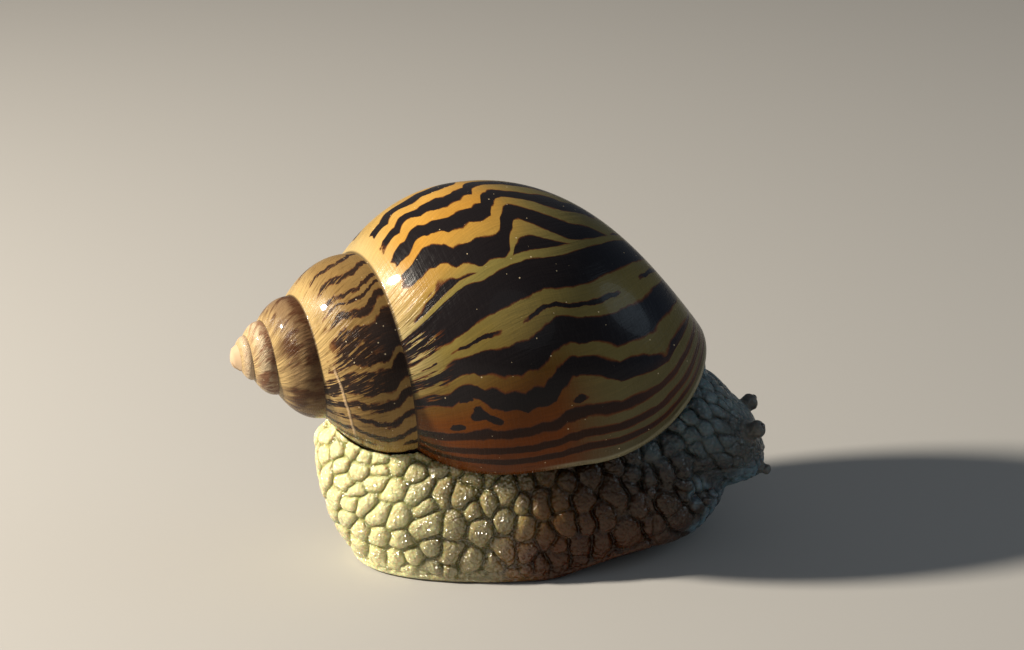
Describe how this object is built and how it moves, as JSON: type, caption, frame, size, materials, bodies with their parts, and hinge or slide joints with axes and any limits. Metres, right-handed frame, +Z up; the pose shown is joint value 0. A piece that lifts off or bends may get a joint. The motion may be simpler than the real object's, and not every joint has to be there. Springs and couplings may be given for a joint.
{
  "type": "giant african land snail",
  "caption": "Still, life-size land snail: a tall pointed spiral shell carried on a short, drawn-in, pebbly foot with head and stubby feelers.",
  "frame": {"origin": "on the floor under the middle of the whole snail", "axes": "+X the way the snail heads, +Y to its left, +Z up"},
  "size_m": [0.0794, 0.0438, 0.0575],
  "materials": {
    "shell": "glossy horn-like shell, golden ochre with dark zebra stripes",
    "skin_side": "moist pebbled skin, olive",
    "skin_pale": "moist pebbled skin, pale yellow-green cream",
    "skin_dark": "moist pebbled skin, dark slate grey",
    "eye": "small glossy black eye"
  },
  "bodies": {
    "root": {"shell": "shell", "mantle_collar": "skin_side", "trunk": "skin_side", "tail": "skin_pale", "sole": "skin_pale", "foot_front": "skin_dark", "neck": "skin_dark", "head": "skin_dark", "mouth": "skin_dark", "upper_feeler_right": "skin_dark", "upper_feeler_left": "skin_dark", "lower_feeler_right": "skin_dark", "lower_feeler_left": "skin_dark", "eye_right": "eye", "eye_left": "eye"}
  },
  "joints": []
}
